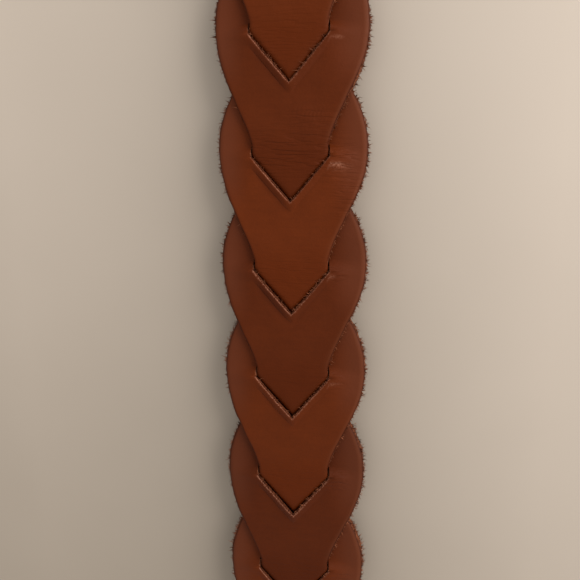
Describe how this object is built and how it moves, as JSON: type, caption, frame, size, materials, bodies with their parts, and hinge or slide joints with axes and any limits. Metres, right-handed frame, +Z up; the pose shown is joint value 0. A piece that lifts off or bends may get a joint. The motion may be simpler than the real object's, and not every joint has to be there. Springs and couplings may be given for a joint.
{
  "type": "linked leather belt",
  "caption": "Waist belt of folded, interlocking leather links with V-shaped slits, with a framed prong buckle and a pointed strap tip.",
  "frame": {"origin": "middle of the belt's length and width, on the surface that it lies on", "axes": "+Y along the belt from the buckle to the tip, +Z up out of its front face, +X across it"},
  "size_m": [0.0408, 0.9736, 0.0095],
  "materials": {
    "leather_dark": "smooth cognac leather, darker reddish hide, raw cut edges",
    "leather_light": "smooth cognac leather, lighter hide, raw cut edges",
    "brass": "satin antique brass"
  },
  "bodies": {
    "root": {"buckle": "brass", "buckle_strap": "leather_dark", "link_01": "leather_light", "link_02": "leather_dark", "link_03": "leather_light", "link_04": "leather_dark", "link_05": "leather_light", "link_06": "leather_dark", "link_07": "leather_light", "link_08": "leather_dark", "link_09": "leather_light", "link_10": "leather_dark", "link_11": "leather_light", "link_12": "leather_dark", "link_13": "leather_light", "link_14": "leather_dark", "link_15": "leather_light", "link_16": "leather_dark", "link_17": "leather_light", "link_18": "leather_dark", "link_19": "leather_light", "link_20": "leather_dark", "link_21": "leather_light", "link_22": "leather_dark", "link_23": "leather_light", "link_24": "leather_dark", "tip_strap": "leather_light"}
  },
  "joints": []
}
